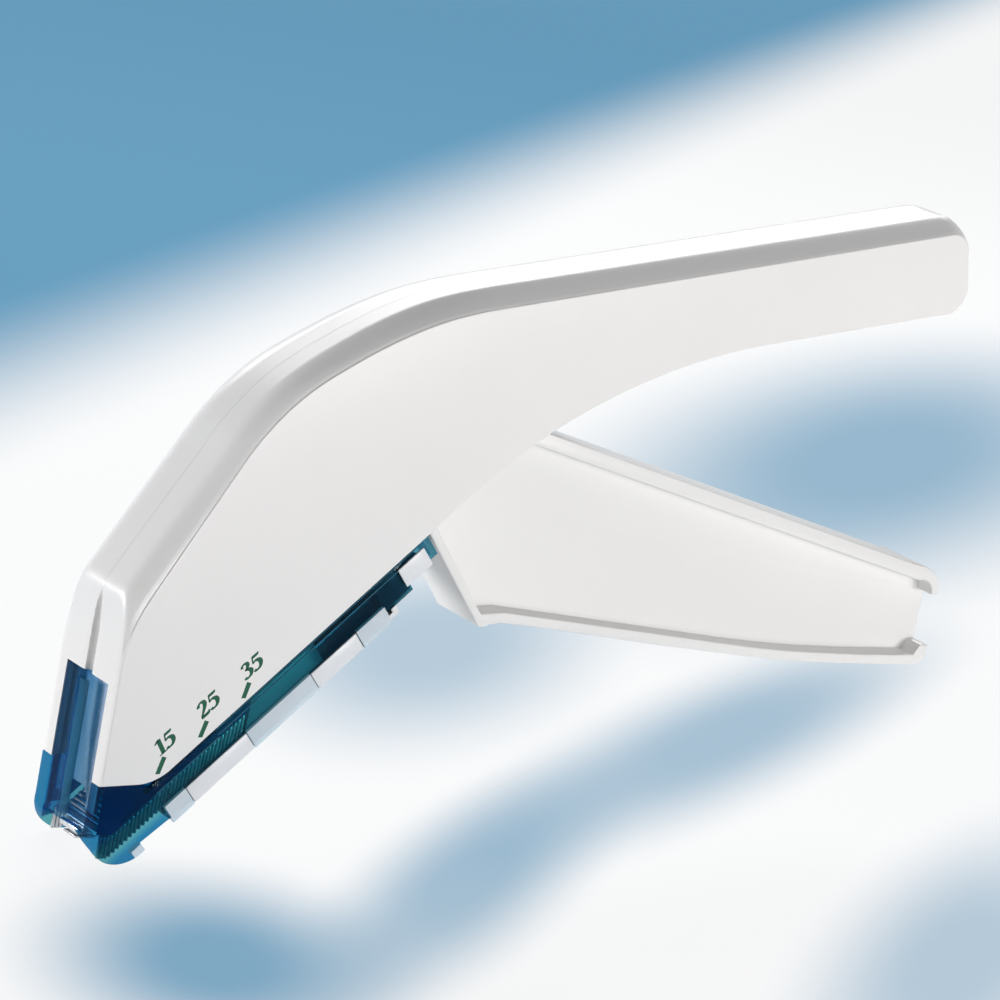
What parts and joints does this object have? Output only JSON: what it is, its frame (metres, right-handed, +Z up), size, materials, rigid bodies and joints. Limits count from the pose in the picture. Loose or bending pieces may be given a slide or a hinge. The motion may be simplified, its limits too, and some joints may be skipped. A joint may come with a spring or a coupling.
{
  "type": "skin stapler",
  "caption": "Hand-held surgical skin stapler: hollow housing, squeeze lever, sliding driver and a see-through magazine with a spring-fed row of wire staples.",
  "frame": {"origin": "on the skin plane, at the middle of the nose's flat front", "axes": "+X runs back from the nose along the handle, +Z up along the line in which a staple is driven, +Y towards the user's right"},
  "size_m": [0.1556, 0.015, 0.0956],
  "materials": {
    "housing_white": "smooth moulded",
    "lever_white": "smooth moulded",
    "clear_blue": "transparent tinted",
    "steel": "stamped sheet",
    "staple_wire": "bright wire",
    "spring_wire": "drawn wire",
    "carrier_grey": "moulded",
    "pusher_blue": "moulded",
    "count_ink": "printed",
    "base_grey": "moulded"
  },
  "bodies": {
    "stapler_body": {"left_housing": "housing_white", "right_housing": "housing_white", "lever_pivot_pin": "steel", "return_spring": "spring_wire", "magazine_body": "clear_blue", "nose_cover": "clear_blue", "magazine_base": "base_grey", "staple_rail": "steel", "anvil": "steel", "ejector_spring": "spring_wire", "staples": "staple_wire", "pusher_spring": "spring_wire", "pusher_guide_rod": "steel", "magazine_end_plug": "base_grey", "magazine_tail_clip": "base_grey"},
    "lever": {"squeeze_lever": "lever_white"},
    "driver": {"driver_carrier": "carrier_grey", "driver_blade": "steel", "drive_pin": "steel"},
    "staple_pusher": {"pusher": "pusher_blue"}
  },
  "joints": [
    {"name": "lever_squeeze", "type": "hinge", "parent": "stapler_body", "child": "lever", "pos_m": [0.0255, 0, 0.037], "axis": [0, -1, 0], "range_deg": [0, 15], "stiffness_Nm_per_rad": 0.43, "springref_deg": -11.46},
    {"name": "driver_stroke", "type": "slide", "parent": "stapler_body", "child": "driver", "axis": [0, 0, -1], "range_m": [0, 0.00458], "deforming": ["return_spring"]},
    {"name": "pusher_feed", "type": "slide", "parent": "stapler_body", "child": "staple_pusher", "axis": [0.7431, 0, 0.6691], "range_m": [0, 0.004], "stiffness_N_per_m": 60, "springref_m": -0.02, "deforming": ["pusher_spring"]}
  ],
  "couplings": [
    {"joint": "driver_stroke", "follows": "lever_squeeze", "m_per_rad": 0.01745}
  ]
}
